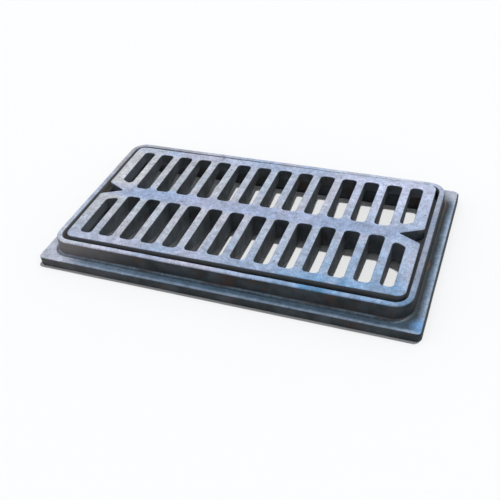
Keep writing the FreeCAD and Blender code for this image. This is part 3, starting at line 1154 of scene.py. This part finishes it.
def add_flange_top(material, place, along):
    """Slate with all its dirt, painted shade and painted highlights, and black on the ledge
    inside the collar as painted shade and dirt.
    """
    outside_foot = add_outside_by(material, place, COLLAR_FOOT)
    for_mud_and_shadow, for_dust, for_highlight, for_right_highlight = add_waving(material, place, [
        (MUD_AND_SHADOW_WAVES, outside_foot), (DUST_WAVES, outside_foot),
        (EDGE_WAVES, add_outside_by(material, place, FLANGE)), (EDGE_WAVES, along),
    ])
    to_right_side = add_node(
        material, "MapRange", SMOOTHLY, Value=along, From_Min=RIGHT_SIDE[0] * MM,
        From_Max=RIGHT_SIDE[1] * MM,
    )
    top = add_mud_shadow_and_slate(material, along, to_right_side, for_mud_and_shadow)
    top = add_foot_dust(material, for_dust, to_right_side, top)
    top = add_foot_rust(material, place, for_mud_and_shadow, top)
    top = add_painted_edge_highlight(material, to_right_side, for_highlight, top)
    top = add_right_highlight(material, for_right_highlight, top)
    top = add_patches(material, place, top, FLANGE_PATCHES)
    top = add_clouding(material, place, top, FLANGE_CLOUDS)
    top = add_right_edge_shade(material, along, top)
    outside = add_node(
        material, "MapRange", Value=add_outside_by(material, place, COLLAR),
        From_Min=-UNDER_COLLAR * MM, From_Max=0.0,
    )
    return add_node(material, "Mix", MIX, Factor=outside, A=linear(COAT_BLACK), B=top)


# %% The frame's rim
FRAME_SKY_SHEEN = 1.0
# Painted shade dulls the right end of the rim to slate.
RIM_SHADE_SPAN = (415, 445)
RIM_SHADING = 0.4
RIM_PATCHES = [
    ((-440, 229, 64), 60, 380, 0.75, "#9fa1a6"),
    ((-420, -229, 64), 40, 150, 0.8, "#c6ccda"),
    ((300, 229, 64), 120, 260, 0.5, "#c3cfde"),
]


def add_rim(material, place, along):
    """The collar's rim: the same painted sheen as on the grate, dulled to slate on the right by
    painted shade.
    """
    rim = add_tints(material, place, FRAME_SKY_SHEEN)
    rim = add_patches(material, place, rim, RIM_PATCHES)
    rim = add_weathering(material, place, rim)
    shaded_right = add_node(
        material, "MapRange", SMOOTHLY, Value=along, From_Min=RIM_SHADE_SPAN[0] * MM,
        From_Max=RIM_SHADE_SPAN[1] * MM, To_Max=RIM_SHADING,
    )
    return add_node(material, "Mix", MIX, Factor=shaded_right, A=rim, B=linear(FLANGE_SLATE))


# %% The frame's walls
FRAME_BROWNING = 0.8
FRAME_JOINT_PALE = (-5, -9)
# Painted light on the walls at the left end.
LEFT_WALL_PAINTED_LIGHT = "#8d8685"
LEFT_LIGHT_SPAN = (-460, -160)
# The flange's side gets less painted light than the collar's wall above it.
SIDE_PAINTED_LIGHT, WALL_PAINTED_LIGHT = 0.15, 0.7
PAINTED_LIGHT_BORDER = 4
# Painted shade on the right-hand walls.
WALL_SHADE_SPAN = (430, 450)
WALL_SHADING = 0.6


def add_frame_wall(material, place, axes):
    """Black coat, with painted light on the left, painted shade on the right, and a paler top to
    the joint.
    """
    wall = add_dark_wall(material, place, COAT_BLACK, COAT_GREY, FRAME_BROWNING)
    most = add_node(
        material, "MapRange", Value=axes.outputs["Z"],
        From_Min=(FLANGE_TOP - PAINTED_LIGHT_BORDER) * MM,
        From_Max=(FLANGE_TOP + PAINTED_LIGHT_BORDER) * MM, To_Min=SIDE_PAINTED_LIGHT, To_Max=WALL_PAINTED_LIGHT,
    )
    dust_and_painted_light = add_node(
        material, "MapRange", SMOOTHLY, Value=axes.outputs["X"], From_Min=LEFT_LIGHT_SPAN[0] * MM,
        From_Max=LEFT_LIGHT_SPAN[1] * MM, To_Min=most, To_Max=0.0,
    )
    wall = add_node(material, "Mix", MIX, Factor=dust_and_painted_light, A=wall, B=linear(LEFT_WALL_PAINTED_LIGHT))
    shaded_right = add_node(
        material, "MapRange", Value=axes.outputs["X"], From_Min=WALL_SHADE_SPAN[0] * MM,
        From_Max=WALL_SHADE_SPAN[1] * MM, To_Max=WALL_SHADING,
    )
    wall = add_node(material, "Mix", MIX, Factor=shaded_right, A=wall, B=linear(RIGHT_PAINTED_SHADE))
    return add_pale_joint_top(material, place, wall, COLLAR, *FRAME_JOINT_PALE)


# %% The frame's material
# Between these heights nothing looks up: the ledge and the flange are below, the rim above.
ABOVE_SEAT, BELOW_RIM = SEAT + 4, COLLAR_TOP - 12


def make_frame_coat():
    material = new_material("bitumen_coated_frame_iron")
    place = add_node(material, "TexCoord").outputs["Object"]
    axes = add_node(material, "SeparateXYZ", Vector=place)
    low = add_node(
        material, "MapRange", Value=axes.outputs["Z"], From_Min=ABOVE_SEAT * MM,
        From_Max=BELOW_RIM * MM, To_Min=1.0, To_Max=0.0,
    )
    rim = add_rim(material, place, axes.outputs["X"])
    flange_top = add_flange_top(material, place, axes.outputs["X"])
    top = add_node(material, "Mix", MIX, Factor=low, A=rim, B=flange_top)
    coat(material, place, top, add_frame_wall(material, place, axes))
    return material


frame_coat = make_frame_coat()
print("frame's material:", len(frame_coat.node_tree.nodes), "nodes")

# %% Dressing the two castings


def dress(piece, node, material):
    piece.data.materials.append(material)
    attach(piece, "root")
    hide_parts(node)


dress(frame_casting, "frame", frame_coat)
dress(grate_casting, "grate", grate_coat)
print("dressed:", frame_casting.name, "and", grate_casting.name)

# %% [markdown]
# ## Floor and light
#
# The photograph has a white ground and hardly any shadow, and light falls through the
# slots onto the ground below. So its main light stands high, a little behind and a little
# to the right. A sun lamp does that, and it is narrow, so that the light below the slots
# has an edge. A pale sky fills in the rest, and the two together light a colour about as
# it is written. Where the sky is seen or mirrored, it is white. A stronger sky would be
# white too, but it would bleach the iron. The floor is white paint that keeps the shadow
# of the grate, and it lies a hair below the frame, because two faces in one plane flicker.

# %% Floor
FLOOR_WHITE = "#f6f6f6"
FLOOR_ROUGHNESS = 0.9
# In metres, and the gap below the frame in mm.
FLOOR_SIZE = 60
FLOOR_GAP = 0.2


def add_floor():
    bpy.ops.object.select_all(action="DESELECT")
    bpy.ops.mesh.primitive_plane_add(size=FLOOR_SIZE, location=(0, 0, -FLOOR_GAP * MM))
    floor = bpy.context.object
    floor.name = "floor"
    paint = new_material("pale_floor")
    matt = add_node(
        paint, "BsdfPrincipled", Base_Color=linear(FLOOR_WHITE), Roughness=FLOOR_ROUGHNESS
    )
    add_node(paint, "OutputMaterial", Surface=matt)
    floor.data.materials.append(paint)


add_floor()
print("floor:", FLOOR_SIZE, "m wide")

# %% Light, with angles in degrees
SUN_TILT = 17
SUN_LEAN = 9
SUN_WIDTH = 4
SUN_STRENGTH = 2.4
SKY_STRENGTH = 0.35
# Linear light, and a touch bluer than white.
SKY_COLOUR = (0.95, 0.97, 1.0, 1.0)


def add_sun():
    bpy.ops.object.light_add(type="SUN")
    sun = bpy.context.object
    sun.data.energy = SUN_STRENGTH
    sun.data.angle = math.radians(SUN_WIDTH)
    sun.rotation_euler = (math.radians(-SUN_TILT), math.radians(SUN_LEAN), 0)


def add_sky():
    """A weak sky for light, which is white where it is seen or mirrored."""
    world = bpy.data.worlds.new("studio")
    world.use_nodes = True
    world.node_tree.nodes.clear()
    ray = add_node(world, "LightPath").outputs
    seen = add_node(
        world, "Math", {"operation": "ADD"}, Value=ray["Is Camera Ray"],
        Value_001=ray["Is Glossy Ray"],
    )
    seen = add_node(
        world, "Math", {"operation": "ADD"}, Value=seen, Value_001=ray["Is Transmission Ray"]
    )
    strength = add_node(world, "MapRange", Value=seen, To_Min=SKY_STRENGTH)
    sky = add_node(world, "Background", Color=SKY_COLOUR, Strength=strength)
    add_node(world, "OutputWorld", Surface=sky)
    bpy.context.scene.world = world


add_sun()
add_sky()
bpy.context.scene.view_settings.view_transform = "Standard"
